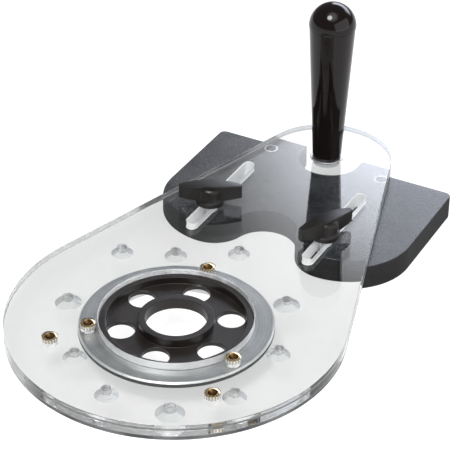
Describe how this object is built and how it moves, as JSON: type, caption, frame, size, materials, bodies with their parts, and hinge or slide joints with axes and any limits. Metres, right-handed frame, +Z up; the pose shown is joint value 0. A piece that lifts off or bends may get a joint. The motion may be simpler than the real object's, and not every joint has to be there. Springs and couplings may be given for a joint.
{
  "type": "router offset base plate",
  "caption": "Clear offset base plate for a hand-held router, with an upright grip, a drop-in insert ring, a metal seat ring and a sliding edge guide held by wing knobs.",
  "frame": {"origin": "on the surface that the edge guide stands on, under the centre of the plate's bounding box", "axes": "+Z up, +Y from the router opening to the grip, +X to the right when looking along +Y"},
  "size_m": [0.191, 0.329, 0.1324],
  "materials": {
    "clear_acrylic": "polished, clear",
    "turned_aluminium": "satin, turned",
    "black_moulding": "semi-matt moulded black",
    "black_board": "matt black, fine grained",
    "black_gloss": "high gloss black",
    "brass": "bright, turned",
    "steel": "plated"
  },
  "bodies": {
    "base": {"base_plate": "clear_acrylic", "seat_ring": "turned_aluminium", "grip": "black_gloss", "grip_insert": "brass", "grip_screw": "steel", "grip_washer": "steel", "plate_insert_left": "brass", "plate_insert_right": "brass", "seat_insert_1": "brass", "seat_insert_2": "brass", "seat_insert_3": "brass", "seat_screw_1": "steel", "seat_screw_2": "steel", "seat_screw_3": "steel"},
    "guide": {"edge_guide": "black_board", "guide_insert_front_left": "steel", "guide_insert_front_right": "steel", "guide_insert_rear_left": "steel", "guide_insert_rear_right": "steel"},
    "left_knob": {"knob_left": "black_moulding", "knob_stud_left": "steel"},
    "right_knob": {"knob_right": "black_moulding", "knob_stud_right": "steel"},
    "insert": {"insert_ring": "black_moulding"}
  },
  "joints": [
    {"name": "guide_slide", "type": "slide", "parent": "base", "child": "guide", "axis": [0, 1, 0], "range_m": [-0.0225, 0.05]},
    {"name": "left_knob_turn", "type": "hinge", "parent": "guide", "child": "left_knob", "pos_m": [-0.0386, 0.0405, 0.0253], "axis": [0, 0, 1], "continuous": true},
    {"name": "right_knob_turn", "type": "hinge", "parent": "guide", "child": "right_knob", "pos_m": [0.0386, 0.0405, 0.0253], "axis": [0, 0, 1], "continuous": true},
    {"name": "insert_lift", "type": "slide", "parent": "base", "child": "insert", "axis": [0, 0, 1], "range_m": [0, 0.03]}
  ]
}
